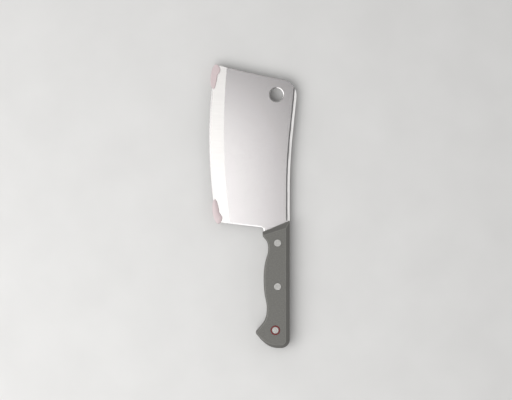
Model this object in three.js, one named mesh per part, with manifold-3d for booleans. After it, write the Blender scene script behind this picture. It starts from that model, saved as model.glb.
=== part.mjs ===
// A kitchen cleaver: a full-tang steel blade between two moulded grip scales, held by three cutler's
// rivets, with a pull-off guard on each corner of the cutting edge.
// Millimetres, +Z up. It lies flat: +Y runs to the toe, -X to the cutting edge, +X to the spine.
// While a piece is drawn, X counts from the handle's back, Y from the butt and Z from mid-thickness.

import * as THREE from 'three';
import { mergeVertices } from 'three/addons/utils/BufferGeometryUtils.js';
import Module from 'manifold-3d';

const wasm = await Module();
wasm.setup();

const degrees = THREE.MathUtils.degToRad;

// Blade: the cutting edge and its bevels, heights counted ahead of the grip's front at the back
const bladeThickness = 3;
const bladeDepth = 85.1;
const edgeRadius = 554;
const edgeCrestAhead = 88.8;
const bevelWidth = 15.3;
const bevelRadius = 728.7;
const bevelCrestAhead = 95;
const thicknessBehindEdge = 0.8;
const thicknessAtEdge = 0.2;
const honeAngle = degrees(15);

// Blade: the two ends, the spine and the hanging hole
const toeAhead = 149;
const toeSlope = degrees(11.7);
const toeHollow = 0.9;
const heelBehind = 10.5;
const heelSlope = degrees(6.7);
const edgeCornerCut = 4;
const spineBendAhead = 60.3;
const spineLean = degrees(5.8);
const spineBendRadius = 600;
const spineCornerRadius = 17.5;
const spineChamfer = { width: 3.15, depth: 1.12, rounding: 0.75 };
const heelChamfer = { width: 1, depth: 0.38, rounding: 0.3 };
const toeBreak = { width: 0.25, depth: 0.2, rounding: 0.1 };
const choilRadius = 3;
const neckSetback = 1.1;
const hangingHoleRadius = 7;
const hangingHoleLipWidth = 1;
const hangingHoleLipDepth = 0.5;
const hangingHoleInset = 13.9;
const hangingHoleBelowToe = 18.3;

// Grip: the outline that the tang and both scales share, each rise counted from the point below it
const gripHook = { width: 36.6, rise: 16.5 };
const gripWaist = { width: 24.3, rise: 24.5 };
const gripBelly = { width: 27.6, rise: 31.4 };
const gripNeck = { width: 22.8, rise: 33.4 };
const gripTip = { width: 28.7, rise: 13.7 };
const gripTipBlunt = 3.4;
const gripTipRadius = 1.2;
const gripFrontSlope = degrees(22.4);
const hookSideAngle = degrees(51);
const hookRounding = 2.7;
const buttFlat = 3.5;
const buttCornerRadius = 9;

// Grip: how far each curve keeps its direction at its ends
const hookUpperReach = 9;
const hookLowerReach = 8;
const waistReach = 12;
const buttReach = 10.5;
const waistToBelly = { leave: 0.35, arrive: 0.65 };
const bellyToNeck = { leave: 0.7, arrive: 0.35 };
const neckToTip = { leave: 0.65, arrive: 0.25 };

// Scales: thickness and the chamfers round the flat outer face
const scaleThickness = 8.5;
const chamferDepth = 4;
const backChamfer = 4.2;
const buttChamfer = 3.5;
const hookChamfer = 1.5;
const fingerChamfer = 1.2;
const frontChamferAtBack = 6.2;
const frontChamferAtTip = 4.1;

// Cutler's rivets: a sleeve from the left and a pin from the right, heads let into the scales
const rivetInset = 12.95;
const rivetHeadRadius = 3.8;
const frontRivetBehind = 23.6;
const middleRivetBehind = 69.6;
const buttRivetInset = 15.3;
const buttRivetRise = 19;
const buttRivetHeadRadius = 3.45;
const accentRingRadius = 5;
const headThickness = 1.5;
const headRecess = 0.05;
const sleeveRadius = 2.5;
const sleeveWall = 0.7;
const sleeveFloor = 1;
const rivetEndGap = 0.5;
const rivetClearance = 0.15;

// Edge guards: one moulding used at both corners. Each knot of its outline lies so far along the edge
// from the closed end and so far outside the edge, and the outline runs straight there for its reach.
const guardEnd = { along: 0, out: -1.9, reach: 2.5 };
const guardLip = { along: 13, out: 2.25, reach: 7 };
const guardTip = { along: 26.2, out: -1.7, reach: 2.3 };
const guardWaist = { along: 13, out: -4.5, reach: 3.5 };
const guardNose = { along: 6, out: -6.8, reach: 2.8 };
const guardWall = 0.9;
const guardRounding = 0.7;
const guardClearance = 0.3;
const toeGuardOverhang = 0.3;
const heelGuardOverhang = 2.2;

// How finely round things are divided
const curveSteps = 16;
const edgeSteps = 40;
const backSteps = 90;
const spineSteps = 48;
const heelSteps = 16;
const chamferSteps = 4;
const turnSteps = 48;
const guardRoundingSteps = 4;

// Levels through the thickness
const halfBlade = bladeThickness / 2;
const scaleFace = halfBlade + scaleThickness;
const headFace = scaleFace - headRecess;
const headSeat = headFace - headThickness;

// Heights along the knife, from the butt up
const hookHeight = gripHook.rise;
const waistHeight = hookHeight + gripWaist.rise;
const bellyHeight = waistHeight + gripBelly.rise;
const neckHeight = bellyHeight + gripNeck.rise;
const tipHeight = neckHeight + gripTip.rise;
const gripFront = tipHeight + gripTipBlunt + Math.tan(gripFrontSlope) * gripTip.width;
const toeHeight = gripFront + toeAhead;
const heelHeight = gripFront - heelBehind;
const spineBendHeight = gripFront + spineBendAhead;
const bevelCrest = gripFront + bevelCrestAhead;

const neckWidth = gripTip.width - neckSetback;
const edgeCentre = new THREE.Vector2(edgeRadius - bladeDepth, gripFront + edgeCrestAhead);
const bevelSlope = (halfBlade - thicknessBehindEdge / 2) / bevelWidth;

// How far a cutter runs past the face or the end that it cuts
const pastFace = bladeThickness;
const pastEnd = bevelWidth;

const plainRivet = { inset: rivetInset, headRadius: rivetHeadRadius };
const rivets = [
  { ...plainRivet, name: 'front', height: gripFront - frontRivetBehind },
  { ...plainRivet, name: 'middle', height: gripFront - middleRivetBehind },
  {
    name: 'butt',
    inset: buttRivetInset,
    height: buttRivetRise,
    headRadius: buttRivetHeadRadius,
    ringRadius: accentRingRadius,
  },
];

const steel = new THREE.MeshStandardMaterial({ color: '#c8c8c6', roughness: 0.32, metalness: 1 });
const gripPlastic = new THREE.MeshStandardMaterial({ color: '#7b7a75', roughness: 0.6, metalness: 0 });
const rivetMetal = new THREE.MeshStandardMaterial({ color: '#c6c6c3', roughness: 0.35, metalness: 1 });
const redPlastic = new THREE.MeshStandardMaterial({ color: '#b81c28', roughness: 0.35, metalness: 0 });
const milkyPlastic = new THREE.MeshStandardMaterial({
  color: '#e6dcda',
  roughness: 0.4,
  metalness: 0,
  transparent: true,
  opacity: 0.7,
});

// A closed geometry as a solid for cutting and joining
function toSolid(geometry) {
  const bare = geometry.clone();
  bare.deleteAttribute('normal');
  bare.deleteAttribute('uv');
  const merged = mergeVertices(bare);
  const corners = merged.index.array;
  const triVerts = [];
  for (let i = 0; i < corners.length; i += 3) {
    const [a, b, c] = corners.slice(i, i + 3);
    if (a !== b && b !== c && c !== a) {
      triVerts.push(a, b, c);
    }
  }
  return new wasm.Manifold(new wasm.Mesh({
    numProp: 3,
    vertProperties: new Float32Array(merged.attributes.position.array),
    triVerts: new Uint32Array(triVerts),
  }));
}

// A finished solid as a named mesh
function toMesh(name, solid, material) {
  const { vertProperties, triVerts } = solid.getMesh();
  const geometry = new THREE.BufferGeometry();
  geometry.setAttribute('position', new THREE.BufferAttribute(vertProperties, 3));
  geometry.setIndex(new THREE.BufferAttribute(triVerts, 1));
  geometry.computeVertexNormals();
  const mesh = new THREE.Mesh(geometry, material);
  mesh.name = name;
  return mesh;
}

// The points of a closed path, each curve divided alike and no point given twice
function trace(path) {
  return path.curves.flatMap((curve) => {
    const count = curve.isLineCurve ? 1 : curve.steps ?? curveSteps;
    return Array.from({ length: count }, (_, i) => curve.getPoint(i / count));
  });
}

// The arc that rounds a corner between two straight stretches
function cornerArc(from, corner, next, radius) {
  const back = from.clone().sub(corner).normalize();
  const ahead = next.clone().sub(corner).normalize();
  const half = Math.acos(back.dot(ahead)) / 2;
  const cut = radius / Math.tan(half);
  const start = corner.clone().addScaledVector(back, cut);
  const end = corner.clone().addScaledVector(ahead, cut);
  const centre = back.clone().add(ahead).setLength(radius / Math.sin(half)).add(corner);
  const startAngle = start.clone().sub(centre).angle();
  const endAngle = end.clone().sub(centre).angle();
  const clockwise = back.cross(ahead) > 0;
  const arc = new THREE.EllipseCurve(centre.x, centre.y, radius, radius, startAngle, endAngle, clockwise);
  return { start, arc, end };
}

function addCorner(path, { arc, end }) {
  path.add(arc);
  path.currentPoint.copy(end);
}

// Turns a profile of [radius, height] pairs about an upright axis; face -1 turns it upside down
function turned(profile, x, y, face = 1) {
  const points = profile.map(([radius, height]) => new THREE.Vector2(radius, face * height));
  if (face < 0) {
    points.reverse();
  }
  return toSolid(new THREE.LatheGeometry(points, turnSteps).rotateX(Math.PI / 2).translate(x, y, 0));
}

// A flat outline as a plate of a given thickness about Z = 0
function plate(points, thickness) {
  const options = { depth: thickness, bevelEnabled: false };
  const geometry = new THREE.ExtrudeGeometry(new THREE.Shape(points), options);
  return toSolid(geometry.translate(0, 0, -thickness / 2));
}

// A flat path lifted into space, for sweeping a section along it
class FlatCurve extends THREE.Curve {
  constructor(plan) {
    super();
    this.plan = plan;
  }

  getPoint(t, target = new THREE.Vector3()) {
    const point = this.plan.getPoint(t);
    return target.set(point.x, point.y, 0);
  }
}

// Sweeps a section of [out, up] pairs along a flat path, out being to the left of travel
function sweep(plan, section, steps) {
  const outline = new THREE.Shape(section.map(([out, up]) => new THREE.Vector2(-up, out)));
  const options = { steps, bevelEnabled: false, extrudePath: new FlatCurve(plan) };
  return toSolid(new THREE.ExtrudeGeometry(outline, options));
}

// Cuts the same section away from both faces of a solid
function grindBothFaces(solid, plan, section, steps) {
  const faces = [1, -1];
  return faces.reduce((rest, face) => {
    const faced = section.map(([out, up]) => [out, face * up]);
    return rest.subtract(sweep(plan, faced, steps));
  }, solid);
}

// A point beside the cutting edge: its angle up the edge's circle, and how far outside the edge
function besideEdge(angle, out) {
  const radius = edgeRadius + out;
  return new THREE.Vector2(
    edgeCentre.x - radius * Math.cos(angle),
    edgeCentre.y + radius * Math.sin(angle),
  );
}

// The angle up the edge's circle at which an end line crosses it, the line grown outward or not
function edgeAngleAt(height, slope, radius) {
  const rise = height - Math.tan(slope) * edgeCentre.x - edgeCentre.y;
  return slope + Math.asin(rise * Math.cos(slope) / radius);
}

const toeAngle = edgeAngleAt(toeHeight, toeSlope, edgeRadius);
const heelAngle = edgeAngleAt(heelHeight, heelSlope, edgeRadius);

// The stretches of the blade's outline, clockwise, each grown outward by the same amount
function bladeStretches(grow) {
  const radius = edgeRadius + grow;
  const toe = toeHeight + grow / Math.cos(toeSlope);
  const heel = heelHeight - grow / Math.cos(heelSlope);
  const toeLine = (x) => new THREE.Vector2(x, toe - Math.tan(toeSlope) * x);
  const heelLine = (x) => new THREE.Vector2(x, heel - Math.tan(heelSlope) * x);
  const toeEnd = edgeAngleAt(toe, toeSlope, radius);
  const heelEnd = edgeAngleAt(heel, heelSlope, radius);
  const toeCorner = besideEdge(toeEnd, grow);
  const heelCorner = besideEdge(heelEnd, grow);
  const cutAngle = edgeCornerCut / radius;

  const edge = new THREE.EllipseCurve(
    edgeCentre.x, edgeCentre.y, radius, radius,
    Math.PI - heelEnd - cutAngle, Math.PI - toeEnd + cutAngle, true,
  );
  edge.steps = edgeSteps;
  const toeStart = toeLine(toeCorner.x + edgeCornerCut * Math.cos(toeSlope));
  const toeRound = new THREE.QuadraticBezierCurve(edge.getPoint(1), toeCorner, toeStart);

  const lean = Math.tan(spineLean);
  const spineX = lean * (toe - spineBendHeight) / (1 + lean * Math.tan(toeSlope));
  const spineCorner = toeLine(spineX);
  const spineBend = new THREE.Vector2(0, spineBendHeight);
  const spineFoot = new THREE.Vector2(0, gripFront);
  const hollow = toeStart.clone().lerp(spineCorner, 0.5);
  hollow.x -= 2 * toeHollow * Math.sin(toeSlope);
  hollow.y -= 2 * toeHollow * Math.cos(toeSlope);
  const back = new THREE.Path();
  back.moveTo(toeStart.x, toeStart.y);
  const topRound = cornerArc(hollow, spineCorner, spineBend, spineCornerRadius);
  back.quadraticCurveTo(hollow.x, hollow.y, topRound.start.x, topRound.start.y);
  addCorner(back, topRound);
  const bendRound = cornerArc(spineCorner, spineBend, spineFoot, spineBendRadius);
  back.lineTo(bendRound.start.x, bendRound.start.y);
  addCorner(back, bendRound);
  back.lineTo(spineFoot.x, spineFoot.y);
  const spine = new THREE.Path();
  spine.moveTo(spineCorner.x, spineCorner.y);
  spine.lineTo(bendRound.start.x, bendRound.start.y);
  addCorner(spine, bendRound);
  spine.lineTo(spineFoot.x, spineFoot.y);

  const heelStop = heelLine(heelCorner.x + edgeCornerCut * Math.cos(heelSlope));
  const neckFoot = new THREE.Vector2(-neckWidth, tipHeight);
  const choil = cornerArc(neckFoot, heelLine(-neckWidth), heelStop, choilRadius);
  const heelEdge = new THREE.Path();
  heelEdge.moveTo(neckFoot.x, neckFoot.y);
  heelEdge.lineTo(choil.start.x, choil.start.y);
  addCorner(heelEdge, choil);
  heelEdge.lineTo(heelStop.x, heelStop.y);
  const heelRound = new THREE.QuadraticBezierCurve(heelStop, heelCorner, edge.getPoint(0));

  const tangBack = new THREE.Vector2(0, tipHeight);
  const outline = new THREE.Path();
  outline.curves = [
    edge,
    toeRound,
    ...back.curves,
    new THREE.LineCurve(spineFoot, tangBack),
    new THREE.LineCurve(tangBack, neckFoot),
    ...heelEdge.curves,
    heelRound,
  ];
  return { outline, back, spine, heelEdge };
}

// The blade's plate with the wide bevel ground on both faces, as it is or grown by a clearance
function groundPlate(grow) {
  const blank = plate(trace(bladeStretches(grow).outline), bladeThickness + 2 * grow);
  const bevelCentreX = bevelWidth + bevelRadius - bladeDepth;
  const overrun = pastEnd / bevelRadius;
  const angleAt = (y) => Math.asin((y - bevelCrest) / bevelRadius);
  const shoulder = new THREE.EllipseCurve(
    bevelCentreX, bevelCrest, bevelRadius, bevelRadius,
    Math.PI - angleAt(besideEdge(heelAngle, 0).y) + overrun,
    Math.PI - angleAt(besideEdge(toeAngle, 0).y) - overrun, true,
  );
  const face = halfBlade + grow;
  const reach = bevelWidth + pastEnd;
  const wedge = [
    [0, face],
    [reach, face - reach * bevelSlope],
    [reach, face + pastFace],
    [0, face + pastFace],
  ];
  return grindBothFaces(blank, shoulder, wedge, edgeSteps);
}

// The wedge that chamfers an edge of the plate, rounded where it leaves the face
function chamferSection({ width, depth, rounding }) {
  const slope = depth / width;
  const shoulder = new THREE.QuadraticBezierCurve(
    new THREE.Vector2(-width - rounding, halfBlade),
    new THREE.Vector2(-width, halfBlade),
    new THREE.Vector2(rounding - width, halfBlade - rounding * slope),
  );
  return [
    ...shoulder.getPoints(chamferSteps).map((point) => point.toArray()),
    [pastFace, halfBlade - (width + pastFace) * slope],
    [pastFace, halfBlade + pastFace],
    [-width - rounding, halfBlade + pastFace],
  ];
}

function makeBlade() {
  const { back, spine, heelEdge } = bladeStretches(0);
  let blade = groundPlate(0);
  const overrun = pastEnd / edgeRadius;
  const edge = new THREE.EllipseCurve(
    edgeCentre.x, edgeCentre.y, edgeRadius, edgeRadius,
    Math.PI - heelAngle + overrun, Math.PI - toeAngle - overrun, true,
  );
  const honeHeight = (out) => thicknessAtEdge / 2 - out * Math.tan(honeAngle);
  const honeReach = (halfBlade + pastFace) / Math.tan(honeAngle);
  const hone = [
    [-honeReach, honeHeight(-honeReach)],
    [0, honeHeight(0)],
    [pastFace, honeHeight(0)],
    [pastFace, honeHeight(-honeReach)],
  ];
  blade = grindBothFaces(blade, edge, hone, edgeSteps);
  blade = grindBothFaces(blade, back, chamferSection(toeBreak), backSteps);
  blade = grindBothFaces(blade, spine, chamferSection(spineChamfer), spineSteps);
  blade = grindBothFaces(blade, heelEdge, chamferSection(heelChamfer), heelSteps);

  const tang = plate(trace(gripOutline(flush)), bladeThickness);
  const lipRadius = hangingHoleRadius + hangingHoleLipWidth * (1 + pastFace / hangingHoleLipDepth);
  const hangingHole = turned([
    [0, -halfBlade - pastFace],
    [lipRadius, -halfBlade - pastFace],
    [hangingHoleRadius, hangingHoleLipDepth - halfBlade],
    [hangingHoleRadius, halfBlade - hangingHoleLipDepth],
    [lipRadius, halfBlade + pastFace],
    [0, halfBlade + pastFace],
  ], -hangingHoleInset, toeHeight + Math.tan(toeSlope) * hangingHoleInset - hangingHoleBelowToe);
  blade = blade.add(tang).subtract(hangingHole);
  const boreRadius = sleeveRadius + rivetClearance;
  return rivets.reduce((rest, { inset, height }) => rest.subtract(turned([
    [0, -halfBlade - pastFace],
    [boreRadius, -halfBlade - pastFace],
    [boreRadius, halfBlade + pastFace],
    [0, halfBlade + pastFace],
  ], -inset, height)), blade);
}

function gripFrontLine(x) {
  return new THREE.Vector2(x, gripFront + Math.tan(gripFrontSlope) * x);
}

const flush = { back: 0, butt: 0, hook: 0, finger: 0 };
const chamfered = { back: backChamfer, butt: buttChamfer, hook: hookChamfer, finger: fingerChamfer };

// The grip's outline, clockwise from its front corner at the back, drawn in by the given amounts
function gripOutline({ back, butt, hook, finger }) {
  const side = ({ width }, height) => new THREE.Vector2(finger - width, height);
  const frontCorner = gripFrontLine(-back);
  const buttCorner = new THREE.Vector2(-back, butt);
  const buttStop = new THREE.Vector2(-buttCornerRadius - buttFlat, butt);
  const hookPoint = new THREE.Vector2(hook - gripHook.width, hookHeight);
  const hookLower = new THREE.Vector2(Math.cos(hookSideAngle), -Math.sin(hookSideAngle));
  const hookUpper = new THREE.Vector2(hookLower.x, -hookLower.y);
  const from = (direction, distance) => hookPoint.clone().addScaledVector(direction, distance);
  const waist = side(gripWaist, waistHeight);
  const belly = side(gripBelly, bellyHeight);
  const neck = side(gripNeck, neckHeight);
  const tip = side(gripTip, tipHeight);

  const path = new THREE.Path();
  path.moveTo(frontCorner.x, frontCorner.y);
  const buttRound = cornerArc(frontCorner, buttCorner, buttStop, buttCornerRadius - back);
  path.lineTo(buttRound.start.x, buttRound.start.y);
  addCorner(path, buttRound);
  path.lineTo(buttStop.x, buttStop.y);
  path.add(new THREE.CubicBezierCurve(
    buttStop,
    new THREE.Vector2(buttStop.x - buttReach, butt),
    from(hookLower, hookRounding + hookLowerReach),
    from(hookLower, hookRounding),
  ));
  path.add(new THREE.QuadraticBezierCurve(
    from(hookLower, hookRounding), hookPoint, from(hookUpper, hookRounding),
  ));
  path.add(new THREE.CubicBezierCurve(
    from(hookUpper, hookRounding),
    from(hookUpper, hookRounding + hookUpperReach),
    new THREE.Vector2(waist.x, waist.y - waistReach),
    waist,
  ));
  const swells = [
    [waist, belly, waistToBelly],
    [belly, neck, bellyToNeck],
    [neck, tip, neckToTip],
  ];
  for (const [start, end, { leave, arrive }] of swells) {
    const rise = end.y - start.y;
    path.add(new THREE.CubicBezierCurve(
      start,
      new THREE.Vector2(start.x, start.y + leave * rise),
      new THREE.Vector2(end.x, end.y - arrive * rise),
      end,
    ));
  }
  path.currentPoint.copy(tip);
  const tipRound = cornerArc(tip, gripFrontLine(tip.x), frontCorner, gripTipRadius);
  path.lineTo(tipRound.start.x, tipRound.start.y);
  addCorner(path, tipRound);
  path.lineTo(frontCorner.x, frontCorner.y);
  return path;
}

// A closed body through rings of points, each ring anticlockwise seen from above
function loft(rings) {
  const count = rings[0].length;
  const positions = rings.flat().flatMap((point) => point.toArray());
  const index = [];
  for (let ring = 0; ring + 1 < rings.length; ring += 1) {
    for (let i = 0; i < count; i += 1) {
      const a = ring * count + i;
      const b = ring * count + (i + 1) % count;
      index.push(a, b, b + count, a, b + count, a + count);
    }
  }
  const flat = (ring) => ring.map(({ x, y }) => new THREE.Vector2(x, y));
  const lid = (ring) => THREE.ShapeUtils.triangulateShape(flat(ring), []);
  const top = (rings.length - 1) * count;
  lid(rings[0]).forEach(([a, b, c]) => index.push(c, b, a));
  lid(rings.at(-1)).forEach(([a, b, c]) => index.push(top + a, top + b, top + c));
  const geometry = new THREE.BufferGeometry();
  geometry.setAttribute('position', new THREE.Float32BufferAttribute(positions, 3));
  geometry.setIndex(index);
  return geometry;
}

// A scale: tang face, outline, chamfers and the stepped bores of the rivets; face is 1 or -1
function makeScale(face) {
  const outer = trace(gripOutline(flush)).reverse();
  const inner = trace(gripOutline(chamfered)).reverse();
  const ring = (points, height) => {
    return points.map(({ x, y }, i) => new THREE.Vector3(x, y, face * height(i)));
  };
  const chamferFoot = (i) => scaleFace - Math.min(chamferDepth, outer[i].distanceTo(inner[i]));
  const rings = [
    ring(outer, () => halfBlade),
    ring(outer, chamferFoot),
    ring(inner, () => scaleFace),
  ];
  const body = loft(face > 0 ? rings : rings.reverse());

  const chamferTip = gripFrontLine(fingerChamfer - gripTip.width);
  const chamferBack = gripFrontLine(-backChamfer);
  chamferTip.y -= frontChamferAtTip;
  chamferBack.y -= frontChamferAtBack;
  const along = chamferBack.clone().sub(chamferTip).normalize();
  const reach = Math.abs(gripFrontLine(0).sub(chamferTip).cross(along));
  const frontLine = new THREE.LineCurve(
    chamferTip.clone().addScaledVector(along, -pastEnd),
    chamferBack.clone().addScaledVector(along, pastEnd),
  );
  const frontCut = sweep(frontLine, [
    [0, face * scaleFace],
    [2 * reach, face * (scaleFace - 2 * chamferDepth)],
    [2 * reach, face * (scaleFace + pastFace)],
    [0, face * (scaleFace + pastFace)],
  ], 1);
  const boreRadius = sleeveRadius + rivetClearance;
  return rivets.reduce((rest, { inset, height, headRadius, ringRadius }) => {
    const seatRadius = (ringRadius ?? headRadius) + rivetClearance;
    return rest.subtract(turned([
      [0, halfBlade - pastFace],
      [boreRadius, halfBlade - pastFace],
      [boreRadius, headSeat],
      [seatRadius, headSeat],
      [seatRadius, scaleFace + pastFace],
      [0, scaleFace + pastFace],
    ], -inset, height, face));
  }, toSolid(body).subtract(frontCut));
}

// The sleeve half of a rivet: a head on the left face and a tube through to the right scale
function makeSleeve({ inset, height, headRadius }) {
  const boreEnd = headSeat - sleeveFloor;
  return turned([
    [0, boreEnd],
    [sleeveRadius - sleeveWall, boreEnd],
    [sleeveRadius - sleeveWall, rivetEndGap - headSeat],
    [sleeveRadius, rivetEndGap - headSeat],
    [sleeveRadius, headSeat],
    [headRadius, headSeat],
    [headRadius, headFace],
    [0, headFace],
  ], -inset, height);
}

// The pin half: a head on the right face and a shank driven up into the sleeve
function makePin({ inset, height, headRadius }) {
  const pinRadius = sleeveRadius - sleeveWall - rivetClearance;
  const pinEnd = headSeat - sleeveFloor - rivetEndGap;
  return turned([
    [0, -headFace],
    [headRadius, -headFace],
    [headRadius, -headSeat],
    [pinRadius, -headSeat],
    [pinRadius, pinEnd],
    [0, pinEnd],
  ], -inset, height);
}

// The ring let into a scale round a rivet's head; face is 1 or -1
function makeRing({ inset, height, headRadius, ringRadius }, face) {
  const bore = headRadius + rivetClearance;
  return turned([
    [bore, headSeat],
    [ringRadius, headSeat],
    [ringRadius, headFace],
    [bore, headFace],
    [bore, headSeat],
  ], -inset, height, face);
}

// The guard's outline as [along the edge, outside the edge] points, round its knots in turn
function guardOutline() {
  const knots = [
    { ...guardEnd, heading: new THREE.Vector2(0, 1) },
    { ...guardLip, heading: new THREE.Vector2(1, 0) },
    { ...guardTip, heading: new THREE.Vector2(0, -1) },
    { ...guardWaist, heading: new THREE.Vector2(-1, 0) },
    { ...guardNose, heading: new THREE.Vector2(-1, 0) },
  ];
  const path = new THREE.Path();
  knots.forEach((knot, i) => {
    const next = knots[(i + 1) % knots.length];
    const start = new THREE.Vector2(knot.along, knot.out);
    const end = new THREE.Vector2(next.along, next.out);
    path.add(new THREE.CubicBezierCurve(
      start,
      start.clone().addScaledVector(knot.heading, knot.reach),
      end.clone().addScaledVector(next.heading, -next.reach),
      end,
    ));
  });
  return trace(path);
}

// A guard at a corner: the moulding's outline with rounded edges, less the blade and its clearance
function makeGuard(cornerAngle, overhang, direction) {
  const outline = guardOutline().map(({ x: along, y: out }) => {
    return besideEdge(cornerAngle + direction * (along - overhang) / edgeRadius, out);
  });
  const bladeAtNose = thicknessBehindEdge / 2 - guardNose.out * bevelSlope;
  const half = bladeAtNose + guardClearance + guardWall;
  const depth = 2 * (half - guardRounding);
  const body = new THREE.ExtrudeGeometry(new THREE.Shape(outline), {
    depth,
    bevelThickness: guardRounding,
    bevelSize: guardRounding,
    bevelOffset: -guardRounding,
    bevelSegments: guardRoundingSteps,
  });
  return toSolid(body.translate(0, 0, -depth / 2)).subtract(groundPlate(guardClearance));
}

const knife = new THREE.Group();
knife.add(
  toMesh('blade', makeBlade(), steel),
  toMesh('left_scale', makeScale(1), gripPlastic),
  toMesh('right_scale', makeScale(-1), gripPlastic),
);
for (const rivet of rivets) {
  knife.add(
    toMesh(`${rivet.name}_rivet_sleeve`, makeSleeve(rivet), rivetMetal),
    toMesh(`${rivet.name}_rivet_pin`, makePin(rivet), rivetMetal),
  );
  if (rivet.ringRadius) {
    knife.add(
      toMesh('left_accent_ring', makeRing(rivet, 1), redPlastic),
      toMesh('right_accent_ring', makeRing(rivet, -1), redPlastic),
    );
  }
}
knife.add(
  toMesh('toe_guard', makeGuard(toeAngle, toeGuardOverhang, -1), milkyPlastic),
  toMesh('heel_guard', makeGuard(heelAngle, heelGuardOverhang, 1), milkyPlastic),
);

// Stand the knife on its right scale, with the origin below the middle of its box
const box = new THREE.Box3().setFromObject(knife);
const middle = box.getCenter(new THREE.Vector3());
knife.position.set(-middle.x, -middle.y, -box.min.z);

const cleaver = new THREE.Group();
cleaver.add(knife);

export default cleaver;
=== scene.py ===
import math

import bmesh
import bpy
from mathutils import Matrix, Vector


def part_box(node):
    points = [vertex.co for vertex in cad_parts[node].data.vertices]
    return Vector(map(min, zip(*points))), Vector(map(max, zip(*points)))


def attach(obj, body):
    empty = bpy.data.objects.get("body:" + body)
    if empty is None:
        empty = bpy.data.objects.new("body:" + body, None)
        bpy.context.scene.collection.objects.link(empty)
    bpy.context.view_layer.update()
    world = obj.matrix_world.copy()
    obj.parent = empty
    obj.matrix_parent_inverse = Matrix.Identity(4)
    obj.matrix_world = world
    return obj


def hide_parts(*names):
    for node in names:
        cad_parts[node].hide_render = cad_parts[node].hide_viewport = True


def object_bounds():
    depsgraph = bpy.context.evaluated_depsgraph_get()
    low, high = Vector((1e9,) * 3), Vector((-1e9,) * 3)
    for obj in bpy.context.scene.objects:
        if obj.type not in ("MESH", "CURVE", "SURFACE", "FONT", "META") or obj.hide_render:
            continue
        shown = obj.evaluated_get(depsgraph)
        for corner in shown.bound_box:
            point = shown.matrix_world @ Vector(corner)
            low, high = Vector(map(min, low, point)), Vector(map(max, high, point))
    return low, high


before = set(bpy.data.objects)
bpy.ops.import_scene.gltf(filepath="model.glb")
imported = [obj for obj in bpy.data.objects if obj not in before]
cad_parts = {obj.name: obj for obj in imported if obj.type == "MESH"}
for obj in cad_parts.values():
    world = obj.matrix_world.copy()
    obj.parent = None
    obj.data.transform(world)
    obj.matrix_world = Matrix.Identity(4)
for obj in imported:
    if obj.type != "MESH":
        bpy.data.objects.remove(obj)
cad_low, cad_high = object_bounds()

# Camera
# It hangs straight above the blade's left face, with the toe at the top of the picture and the cutting
# edge on the left. The long lens keeps the sides of the handle out of sight.
blade_low, blade_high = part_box("blade")
camera_height = 2.5
picture_width = 0.5427
picture_middle = (0.0032, 0.0065)

camera_data = bpy.data.cameras.new("camera")
camera_data.lens = camera_data.sensor_width * camera_height / picture_width
camera = bpy.data.objects.new("camera", camera_data)
camera.location = (*picture_middle, blade_high.z + camera_height)
scene = bpy.context.scene
scene.collection.objects.link(camera)
scene.camera = camera
scene.view_settings.view_transform = "Standard"

# Floor
# A wide sheet of pale matt paper that the knife lies on, with the faint cloudiness of paper pulp.
# It isn't part of the knife.
floor_reach = 8.0
floor_corners = [(-1, -1), (1, -1), (1, 1), (-1, 1)]
paper_pale = (0.70, 0.695, 0.685, 1)
paper_dull = (0.67, 0.665, 0.655, 1)
paper_clouds = (18, 18, 18)

# Nearly all of a noise pattern lies between these two values.
pattern_low = 0.3
pattern_high = 0.7


def new_material(name, **settings):
    """A material of one Principled shader, its sockets set by name, with its nodes and its shader."""
    material = bpy.data.materials.new(name)
    material.use_nodes = True
    shader = material.node_tree.nodes["Principled BSDF"]
    for socket, value in settings.items():
        shader.inputs[socket.replace("_", " ")].default_value = value
    return material, material.node_tree, shader


def noise(tree, grains, detail=3.0):
    """Noise in the piece's own coordinates, with so many grains to the metre along X, Y and Z."""
    place = tree.nodes.new("ShaderNodeTexCoord")
    stretch = tree.nodes.new("ShaderNodeMapping")
    stretch.inputs["Scale"].default_value = grains
    texture = tree.nodes.new("ShaderNodeTexNoise")
    texture.inputs["Scale"].default_value = 1.0
    texture.inputs["Detail"].default_value = detail
    tree.links.new(place.outputs["Object"], stretch.inputs["Vector"])
    tree.links.new(stretch.outputs["Vector"], texture.inputs["Vector"])
    return texture.outputs["Fac"]


def vary_colour(tree, shader, pattern, low, high):
    """Runs the base colour from one colour to another as the pattern rises."""
    ramp = tree.nodes.new("ShaderNodeValToRGB")
    first, last = ramp.color_ramp.elements
    first.position = pattern_low
    first.color = low
    last.position = pattern_high
    last.color = high
    tree.links.new(pattern, ramp.inputs["Fac"])
    tree.links.new(ramp.outputs["Color"], shader.inputs["Base Color"])


paper, tree, shader = new_material("pale_paper", Roughness=0.9, Specular_IOR_Level=0.2)
vary_colour(tree, shader, noise(tree, paper_clouds), paper_dull, paper_pale)
floor_mesh = bpy.data.meshes.new("floor")
floor_points = [(x * floor_reach, y * floor_reach, cad_low.z) for x, y in floor_corners]
floor_mesh.from_pydata(floor_points, [], [range(len(floor_points))])
floor_mesh.materials.append(paper)
floor = bpy.data.objects.new("floor", floor_mesh)
scene.collection.objects.link(floor)

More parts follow.
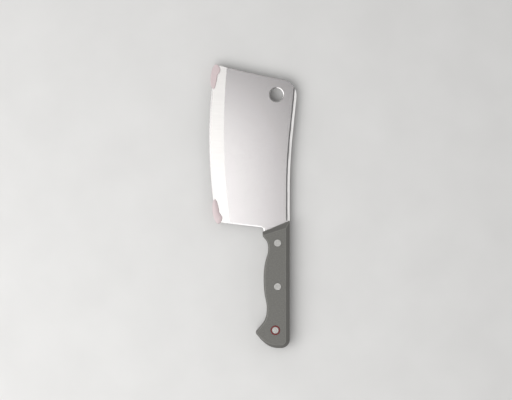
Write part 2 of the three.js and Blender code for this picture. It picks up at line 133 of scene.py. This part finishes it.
# Studio light
# A large softbox hangs level to the left of the blade's middle, so that its reflection fades out across the
# flat. A narrow one stands on the right for the spine and a small one on the left for the cutting edge. The
# room is pale, but dim overhead and a little to the right.
key_size = Vector((1.8, 1.1))
key_corner = Vector((0.015, 0.165))
key_height = 1.0
key_brightness = 2.21
strip_size = Vector((0.5, 0.09))
strip_place = (0.56, 0.1, 0.62)
strip_brightness = 1.65
fill_size = Vector((0.34, 0.34))
fill_place = (-0.6, 0.34, 1.0)
fill_brightness = 1.6
room_colour = (1, 1, 1, 1)
room_pale = 0.7
room_dim = 0.27
dim_side = Vector((0.3, 0.0, 0.95)).normalized()

# The cosines of the angles from the dim side at which the dimness starts and is full.
dim_from = 0.72
dim_full = 0.92


def softbox(name, size, place, aim, brightness):
    """A rectangular lamp of even brightness that the camera doesn't see."""
    lamp = bpy.data.lights.new(name, "AREA")
    lamp.shape = "RECTANGLE"
    lamp.size, lamp.size_y = size
    lamp.energy = math.pi * brightness * size.x * size.y
    box = bpy.data.objects.new(name, lamp)
    box.location = place
    box.rotation_mode = "QUATERNION"
    box.rotation_quaternion = (Vector(aim) - Vector(place)).to_track_quat("-Z", "Y")
    box.visible_camera = False
    scene.collection.objects.link(box)


key_middle = key_corner - key_size / 2
spine_middle = (blade_high.x, strip_place[1], blade_high.z)
edge_middle = (blade_low.x, 0, blade_low.z)
softbox("key_softbox", key_size, (*key_middle, key_height), (*key_middle, 0), key_brightness)
softbox("spine_softbox", strip_size, strip_place, spine_middle, strip_brightness)
softbox("edge_softbox", fill_size, fill_place, edge_middle, fill_brightness)

room = bpy.data.worlds.new("pale_room")
room.use_nodes = True
scene.world = room
tree = room.node_tree
direction = tree.nodes.new("ShaderNodeTexCoord")
toward_dim = tree.nodes.new("ShaderNodeVectorMath")
toward_dim.operation = "DOT_PRODUCT"
toward_dim.inputs[1].default_value = dim_side
fade = tree.nodes.new("ShaderNodeMapRange")
fade.inputs["From Min"].default_value = dim_from
fade.inputs["From Max"].default_value = dim_full
fade.inputs["To Min"].default_value = room_pale
fade.inputs["To Max"].default_value = room_dim
walls = tree.nodes["Background"]
walls.inputs["Color"].default_value = room_colour
tree.links.new(direction.outputs["Generated"], toward_dim.inputs[0])
tree.links.new(toward_dim.outputs["Value"], fade.inputs["Value"])
tree.links.new(fade.outputs["Result"], walls.inputs["Strength"])

# Blade and tang
# One plate of stainless steel. Its flats are rolled and satin-finished along their length, with a faint
# painted pink reflection in their colour, the wide bevel is ground across the edge and coloured lighter as a
# painted highlight, the cutting edge is honed, and the spine, heel and hole are polished over.
# The satin colours lean to red: a faint painted pink reflection over the steel's own grey.
satin_light_painted_pink = (0.579, 0.558, 0.558, 1)
satin_dark_painted_pink = (0.531, 0.511, 0.511, 1)
satin_grain = (760, 560, 760)
satin_brushing = (5200, 260, 5200)
satin_roughness = (0.23, 0.27)
satin_height = 0.0000004
satin_lean = math.radians(1)

# The bevel's colours are lighter than the flats': a painted highlight; the streaks in them are the
# grinding's own.
ground_highlight_light = (0.68, 0.663, 0.648, 1)
ground_highlight_dark = (0.65, 0.634, 0.62, 1)
ground_streaks = (30, 500, 500)
ground_scoring = (60, 2400, 2400)
ground_roughness = (0.39, 0.45)
ground_height = 0.0000007
ground_lean = math.radians(8)

honed_colour = (0.36, 0.352, 0.347, 1)
honed_strokes = (300, 5000, 5000)
honed_roughness = (0.12, 0.2)
honed_lean = math.radians(30)

# A honed face leans more than this many times as much sideways as lengthways.
honed_sideways = 2

polish_light = (0.49, 0.48, 0.475, 1)
polish_dark = (0.45, 0.44, 0.435, 1)
polish_wiping = (900, 900, 900)
polish_roughness = (0.1, 0.16)

# The bevel and the honed edge lie further than this towards the cutting edge.
edge_side = -0.01
blade_crease = math.radians(30)
blade_plane = math.radians(0.02)
same_plane = math.radians(0.1)
weld_distance = 1e-6


def vary_roughness(tree, shader, pattern, low, high):
    """Runs the roughness from one value to another as the pattern rises."""
    span = tree.nodes.new("ShaderNodeMapRange")
    span.inputs["From Min"].default_value = pattern_low
    span.inputs["From Max"].default_value = pattern_high
    span.inputs["To Min"].default_value = low
    span.inputs["To Max"].default_value = high
    tree.links.new(pattern, span.inputs["Value"])
    tree.links.new(span.outputs["Result"], shader.inputs["Roughness"])


def emboss(tree, shader, pattern, height, strength=1.0):
    """Raises the surface by up to a height in metres where the pattern is high."""
    bump = tree.nodes.new("ShaderNodeBump")
    bump.inputs["Distance"].default_value = height
    bump.inputs["Strength"].default_value = strength
    tree.links.new(pattern, bump.inputs["Height"])
    tree.links.new(bump.outputs["Normal"], shader.inputs["Normal"])


satin, tree, shader = new_material("satin_steel", Metallic=1.0)
brushing = noise(tree, satin_brushing)
vary_colour(tree, shader, noise(tree, satin_grain), satin_dark_painted_pink, satin_light_painted_pink)
vary_roughness(tree, shader, brushing, *satin_roughness)
emboss(tree, shader, brushing, satin_height)

ground, tree, shader = new_material("ground_steel_painted_highlight", Metallic=1.0)
scoring = noise(tree, ground_scoring)
vary_colour(tree, shader, noise(tree, ground_streaks, detail=5.0), ground_highlight_dark, ground_highlight_light)
vary_roughness(tree, shader, scoring, *ground_roughness)
emboss(tree, shader, scoring, ground_height)

honed, tree, shader = new_material("honed_steel", Metallic=1.0, Base_Color=honed_colour)
vary_roughness(tree, shader, noise(tree, honed_strokes), *honed_roughness)

polished, tree, shader = new_material("polished_steel", Metallic=1.0)
wiping = noise(tree, polish_wiping)
vary_colour(tree, shader, wiping, polish_dark, polish_light)
vary_roughness(tree, shader, wiping, *polish_roughness)


def editable(node, flat_angle):
    """A solid's mesh for editing, with triangles that lie in one plane joined into whole faces."""
    work = bmesh.new()
    work.from_mesh(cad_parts[node].data)
    bmesh.ops.remove_doubles(work, verts=work.verts, dist=weld_distance)
    bmesh.ops.dissolve_limit(work, angle_limit=flat_angle, verts=work.verts, edges=work.edges)
    return work


def flat_areas(work):
    """For each face, the area of the whole flat that it belongs to."""
    areas = {}
    for start in work.faces:
        if start in areas:
            continue
        flat = [start]
        areas[start] = 0
        for face in flat:
            for edge in face.edges:
                for beside in edge.link_faces:
                    if beside not in areas and edge.calc_face_angle() < same_plane:
                        areas[beside] = 0
                        flat.append(beside)
        total = sum(face.calc_area() for face in flat)
        areas.update((face, total) for face in flat)
    return areas


def even_normals(work):
    """A normal for each corner of each face, bent between creases only, and level across the large flats."""
    areas = flat_areas(work)
    normals = []
    for face in work.faces:
        for corner in face.loops:
            fan = [face]
            for beside in fan:
                for edge in beside.edges:
                    if corner.vert in edge.verts and edge.smooth:
                        fan += [other for other in edge.link_faces if other not in fan]
            bent = sum((areas[other] * other.normal for other in fan), Vector())
            normals.append(bent.normalized())
    return normals


def dress(node, work, crease, body, materials, middle=Vector()):
    """Makes an edited mesh the piece that stands for its solid, smooth but for its creases."""
    for face in work.faces:
        face.smooth = True
    for edge in work.edges:
        if edge.calc_face_angle() > crease:
            edge.smooth = False
    normals = even_normals(work)
    bmesh.ops.translate(work, verts=work.verts, vec=-middle)
    mesh = bpy.data.meshes.new(f"finished_{node}")
    work.to_mesh(mesh)
    work.free()
    mesh.normals_split_custom_set(normals)
    for material in materials:
        mesh.materials.append(material)
    piece = bpy.data.objects.new(f"finished_{node}", mesh)
    piece.location = middle
    scene.collection.objects.link(piece)
    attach(piece, body)
    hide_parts(node)


steel_finishes = [satin, ground, honed, polished]
work = editable("blade", blade_plane)
for face in work.faces:
    lean = math.acos(min(1, abs(face.normal.z)))
    sideways = abs(face.normal.x)
    lengthways = abs(face.normal.y)
    beside_edge = face.calc_center_median().x < edge_side
    if lean < satin_lean:
        finish = satin
    elif beside_edge and lean < ground_lean and sideways > lengthways:
        finish = ground
    elif beside_edge and lean < honed_lean and sideways > honed_sideways * lengthways:
        finish = honed
    else:
        finish = polished
    face.material_index = steel_finishes.index(finish)
for edge in work.edges:
    meeting = [steel_finishes[face.material_index] for face in edge.link_faces]
    if meeting[0] != meeting[1] and (ground in meeting or honed in meeting):
        edge.smooth = False
dress("blade", work, blade_crease, "knife", steel_finishes)

# Handle scales
# Two scales of warm grey plastic, clamped to the tang by the rivets. Their flat faces are moulded with a
# fine grain, the chamfers that meet in mitres round them are smoother and carry painted shade that makes
# them darker, and their edges are softened and carry a painted highlight that makes them lighter.
grip_light = (0.165, 0.161, 0.148, 1)
grip_dark = (0.123, 0.121, 0.111, 1)
grip_speckle = (700, 700, 700)
grip_roughness = (0.5, 0.62)
grip_grain = (2600, 2600, 2600)
grip_height = 0.00004
grip_strength = 0.5

# The chamfers are coloured about a fifth darker than the flats: painted shade, as they turn away from the
# light above.
shaded_chamfer_light = (0.126, 0.123, 0.114, 1)
shaded_chamfer_dark = (0.115, 0.112, 0.104, 1)
chamfer_clouds = (600, 600, 600)
chamfer_roughness = (0.44, 0.52)
chamfer_lean = math.radians(20)

# The rounded edges of the scales are coloured lighter than the flats: a painted highlight along every
# softened edge.
painted_edge_light = (0.2, 0.196, 0.182, 1)
painted_edge_dark = (0.16, 0.157, 0.145, 1)
painted_edge_patches = (160, 160, 160)
painted_edge_roughness = (0.36, 0.46)
smooth_grain = (1500, 1500, 1500)

rivet_names = ["front", "middle", "butt"]
tang_middle = (blade_low.z + blade_high.z) / 2
tang_margin = 0.0002
tang_reach = blade_high.z - tang_middle + tang_margin
bore_reach = 0.006
sharp_edge = math.radians(15)
grip_rounding = 0.0004
grip_crease = math.radians(40)

grained, tree, shader = new_material("grained_plastic", Specular_IOR_Level=0.4)
speckle = noise(tree, grip_speckle, detail=5.0)
vary_colour(tree, shader, speckle, grip_dark, grip_light)
vary_roughness(tree, shader, speckle, *grip_roughness)
emboss(tree, shader, noise(tree, grip_grain, detail=2.0), grip_height, grip_strength)

smooth, tree, shader = new_material("smooth_plastic_painted_shade", Specular_IOR_Level=0.4)
vary_colour(tree, shader, noise(tree, chamfer_clouds, detail=4.0), shaded_chamfer_dark, shaded_chamfer_light)
vary_roughness(tree, shader, noise(tree, smooth_grain), *chamfer_roughness)

painted_edge_highlight, tree, shader = new_material("plastic_painted_edge_highlight", Specular_IOR_Level=0.4)
vary_colour(tree, shader, noise(tree, painted_edge_patches, detail=4.0), painted_edge_dark, painted_edge_light)
vary_roughness(tree, shader, noise(tree, smooth_grain), *painted_edge_roughness)


def middle_of(node):
    """The middle of a solid's box."""
    low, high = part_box(node)
    return (low + high) / 2


grip_finishes = [grained, smooth, painted_edge_highlight]
rivet_middles = [middle_of(f"{name}_rivet_sleeve").xy for name in rivet_names]
for node in ["left_scale", "right_scale"]:
    work = editable(node, same_plane)
    rounded = []
    for edge in work.edges:
        middle = (edge.verts[0].co + edge.verts[1].co) / 2
        off_tang = min(abs(vertex.co.z - tang_middle) for vertex in edge.verts)
        off_bores = min((middle.xy - rivet).length for rivet in rivet_middles)
        if edge.calc_face_angle() > sharp_edge and off_tang > tang_reach and off_bores > bore_reach:
            rounded.append(edge)
    rounding = bmesh.ops.bevel(work, geom=rounded, offset=grip_rounding, offset_type="OFFSET", segments=3,
                               profile=0.5, affect="EDGES", clamp_overlap=False)
    # Faces that lean like the chamfers take the smoother finish and its painted shade.
    for face in work.faces:
        if abs(face.normal.z) < math.cos(chamfer_lean):
            face.material_index = grip_finishes.index(smooth)
    # The rounded strips take the painted edge highlight.
    for face in rounding["faces"]:
        face.material_index = grip_finishes.index(painted_edge_highlight)
    dress(node, work, grip_crease, "knife", grip_finishes)

# Rivets
# Three two-part rivets of turned aluminium, each a sleeve from the left and a pin from the right pressed
# into it. Their heads are let into the scales and keep the fine rings of the lathe.
rivet_light = (0.42, 0.415, 0.4, 1)
rivet_dark = (0.37, 0.365, 0.351, 1)
rivet_clouds = (700, 700, 700)
rivet_roughness = (0.34, 0.42)
lathe_marks = 1600.0
lathe_height = 0.000004
rim_angle = math.radians(60)
rim_rounding = 0.0002
rim_crease = math.radians(50)

turned, tree, shader = new_material("turned_aluminium", Metallic=1.0)
place = tree.nodes.new("ShaderNodeTexCoord")
rings = tree.nodes.new("ShaderNodeTexWave")
rings.wave_type = "RINGS"
rings.rings_direction = "Z"
rings.inputs["Scale"].default_value = lathe_marks
tree.links.new(place.outputs["Object"], rings.inputs["Vector"])
vary_colour(tree, shader, noise(tree, rivet_clouds), rivet_dark, rivet_light)
vary_roughness(tree, shader, rings.outputs["Fac"], *rivet_roughness)
emboss(tree, shader, rings.outputs["Fac"], lathe_height)


def dress_round(node, material):
    """Rounds the rims of a round solid over and dresses it about its own middle."""
    work = editable(node, same_plane)
    rims = [edge for edge in work.edges if edge.calc_face_angle() > rim_angle]
    bmesh.ops.bevel(work, geom=rims, offset=rim_rounding, offset_type="OFFSET", segments=2,
                    profile=0.5, affect="EDGES", clamp_overlap=True)
    dress(node, work, rim_crease, "knife", [material], middle_of(node))


for name in rivet_names:
    for half in ["sleeve", "pin"]:
        dress_round(f"{name}_rivet_{half}", turned)

# Rings at the butt
# Two moulded rings of red plastic, one round each head of the butt rivet. Each is let into its scale, with
# its face just below the grip's.
red_light = (0.175, 0.016, 0.014, 1)
red_dark = (0.135, 0.012, 0.011, 1)
red_clouds = (900, 900, 900)
red_grain = (1800, 1800, 1800)
red_roughness = (0.28, 0.36)

red, tree, shader = new_material("red_plastic", Specular_IOR_Level=0.5)
vary_colour(tree, shader, noise(tree, red_clouds), red_dark, red_light)
vary_roughness(tree, shader, noise(tree, red_grain), *red_roughness)
for side in ["left", "right"]:
    dress_round(f"{side}_accent_ring", red)

# Edge guards
# Two pull-off caps of milky plastic, one moulding used at both corners of the cutting edge. Each grips the
# bevel by its two walls, which are crowned outside and rounded at their rims.
# The milky colours are tinted pink: a painted reflection of red backing seen through the plastic, which is
# itself milky white.
milk_light_painted_pink = (0.76, 0.64, 0.646, 1)
milk_dark_painted_pink = (0.73, 0.614, 0.62, 1)
milk_clouds = (240, 240, 240)
wall_level = 0.999
crown_height = 0.0005
crown_reach = 0.0022
crown_grid = 0.0006
cut_slack = 1e-7
guard_crease = math.radians(35)

milky, tree, shader = new_material("milky_plastic", Roughness=0.35, IOR=1.46, Transmission_Weight=0.2)
vary_colour(tree, shader, noise(tree, milk_clouds, detail=2.0), milk_dark_painted_pink, milk_light_painted_pink)


def rim_distance(point, start, end):
    """How far a point lies from a straight stretch of a rim."""
    along = end - start
    share = (point - start).dot(along) / along.length_squared
    return (point - start - along * min(1, max(0, share))).length


def crown(work, face):
    """Cuts a level face into a fine grid and swells it outward, by less and less towards its rim."""
    rim = [[vertex.co.copy() for vertex in edge.verts] for edge in face.edges]
    corners = [vertex.co.copy() for vertex in face.verts]
    outward = face.normal.copy()
    pieces = [face, *face.edges, *face.verts]
    for across in [Vector((1, 0, 0)), Vector((0, 1, 0))]:
        places = [corner.dot(across) for corner in corners]
        start = min(places)
        for step in range(1, math.ceil((max(places) - start) / crown_grid)):
            cut = bmesh.ops.bisect_plane(work, geom=pieces, dist=cut_slack, plane_no=across,
                                         plane_co=across * (start + step * crown_grid))
            pieces = cut["geom"]
    for vertex in [piece for piece in pieces if isinstance(piece, bmesh.types.BMVert)]:
        from_rim = min(rim_distance(vertex.co, *ends) for ends in rim)
        slack = 1 - min(1, from_rim / crown_reach)
        vertex.co += outward * crown_height * (1 - slack ** 2)


for node in ["toe_guard", "heel_guard"]:
    work = editable(node, same_plane)
    for wall in [face for face in work.faces if abs(face.normal.z) > wall_level]:
        crown(work, wall)
    dress(node, work, guard_crease, node, [milky])
